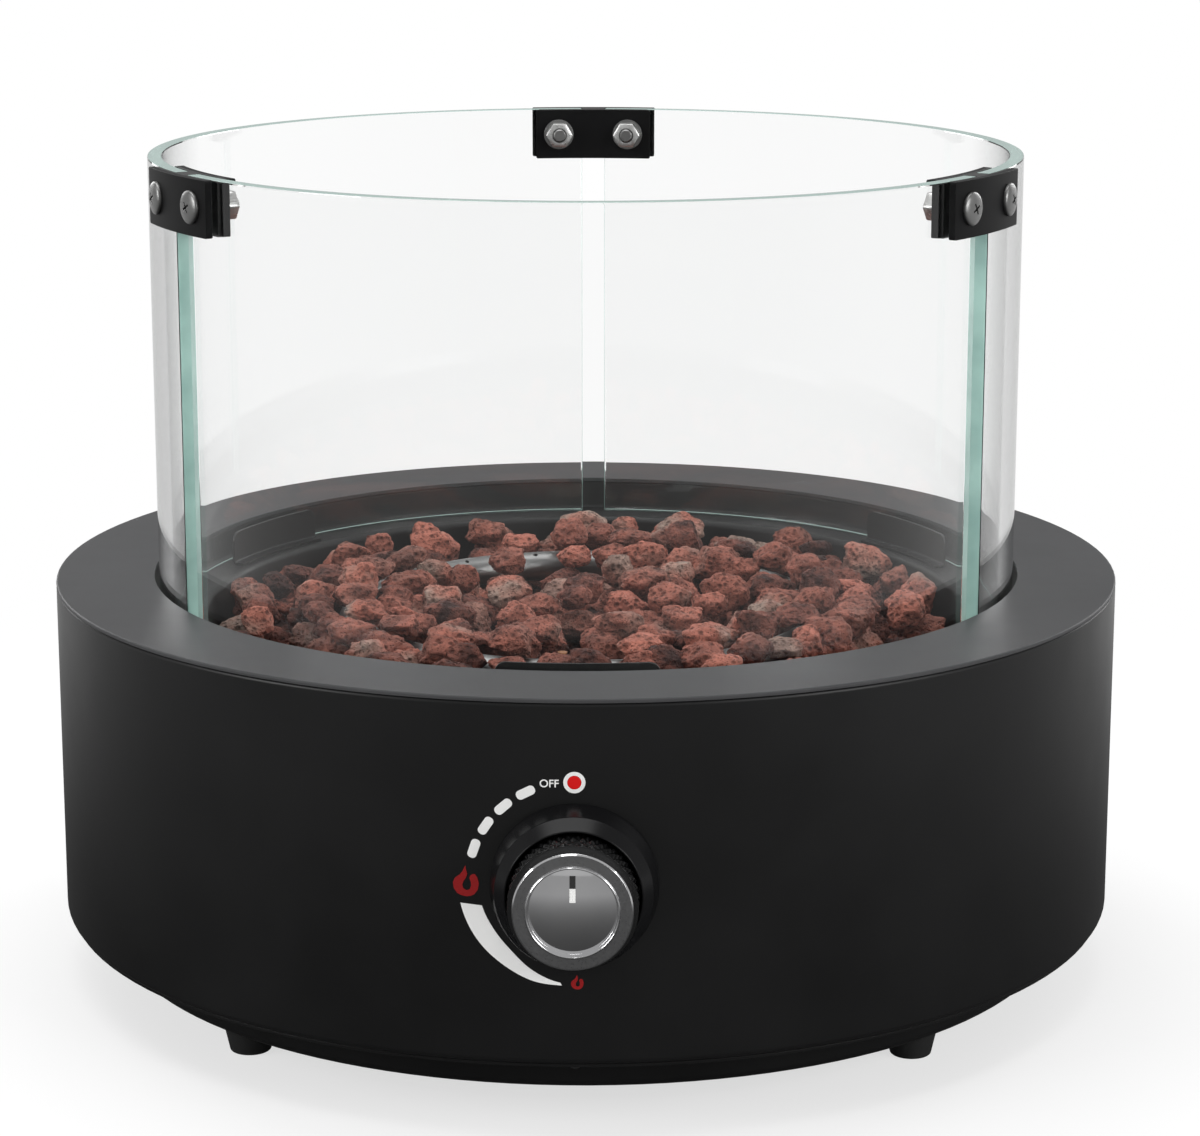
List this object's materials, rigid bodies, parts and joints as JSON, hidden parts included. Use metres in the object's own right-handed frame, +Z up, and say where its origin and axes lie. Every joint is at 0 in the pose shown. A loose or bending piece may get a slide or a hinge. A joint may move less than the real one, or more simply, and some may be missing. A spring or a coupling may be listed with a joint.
{
  "type": "tabletop gas fire pit",
  "caption": "Round tabletop gas fire pit with a bowl of lava stones over a ring burner, a clamped glass wind guard and a push-and-turn valve knob.",
  "frame": {"origin": "on the table, below the drum's axis", "axes": "+Z up; -Y towards the knob at the front; +X to the right of someone who faces it"},
  "size_m": [0.4499, 0.516, 0.3486],
  "materials": {
    "black_powder_coat": "satin powder coat, near black",
    "ring_coat": "satin powder coat, dark grey",
    "bowl_coat": "matte heat-proof black",
    "stainless": "brushed stainless steel",
    "galvanised": "dull zinc-plated sheet",
    "aluminium_tube": "satin drawn tube",
    "brass": "machined brass",
    "copper_probe": "copper probe and lead",
    "die_cast": "as-cast alloy",
    "black_plastic": "moulded black plastic",
    "gloss_black": "polished black plastic",
    "knurled_black": "knurled black plastic",
    "chrome_cap": "polished chrome plate",
    "rubber_black": "black rubber",
    "lead_insulation": "red silicone insulation",
    "ceramic_white": "white ceramic insulator",
    "lava_rock": "porous red-brown lava rock",
    "clear_glass": "clear tempered glass with green edges",
    "clamp_coat": "matte black painted plate"
  },
  "bodies": {
    "drum": {"body_shell": "black_powder_coat", "top_ring": "ring_coat", "rim_nuts": "stainless", "fire_bowl": "bowl_coat", "glass_tabs": "bowl_coat", "base_pan": "black_powder_coat", "base_screws": "stainless", "feet": "rubber_black", "foot_screws": "stainless", "foot_nuts": "stainless", "lava_bed": "lava_rock", "lava_stones": "lava_rock", "burner_ring": "stainless", "burner_nut": "brass", "burner_screws": "stainless", "mixer_tube": "die_cast", "orifice_jet": "brass", "manifold_tube": "aluminium_tube", "manifold_nut": "brass", "supply_tube": "aluminium_tube", "supply_nuts": "brass", "inlet_fitting": "brass", "inlet_plate": "black_plastic", "inlet_locknut": "brass", "gas_valve": "die_cast", "valve_bracket": "galvanised", "piezo_igniter": "black_plastic", "igniter_lead": "lead_insulation", "igniter_electrode": "ceramic_white", "thermocouple": "copper_probe", "pilot_bracket": "galvanised", "heat_shield": "galvanised", "knob_bezel": "gloss_black", "bezel_screws": "stainless"},
    "push_sleeve_body": {"push_sleeve": "stainless"},
    "knob": {"valve_stem": "stainless", "knob_grip": "knurled_black", "knob_cap": "chrome_cap"},
    "glass_guard": {"glass_back_left": "clear_glass", "glass_front": "clear_glass", "glass_back_right": "clear_glass", "clamp_outer_back": "clamp_coat", "clamp_outer_left": "clamp_coat", "clamp_outer_right": "clamp_coat", "clamp_inner_back": "clamp_coat", "clamp_inner_left": "clamp_coat", "clamp_inner_right": "clamp_coat", "clamp_gaskets": "rubber_black", "clamp_spacers": "rubber_black", "clamp_screws": "stainless", "clamp_washers": "stainless", "clamp_nuts": "stainless"}
  },
  "joints": [
    {"name": "knob_push", "type": "slide", "parent": "drum", "child": "push_sleeve_body", "axis": [0, 1, 0], "range_m": [0, 0.004], "stiffness_N_per_m": 600, "springref_m": -0.004},
    {"name": "knob_turn", "type": "hinge", "parent": "push_sleeve_body", "child": "knob", "pos_m": [0, -0.225, 0.10025], "axis": [0, -1, 0], "range_deg": [0, 180]},
    {"name": "guard_lift", "type": "slide", "parent": "drum", "child": "glass_guard", "axis": [0, 0, 1], "range_m": [0, 0.2]}
  ]
}
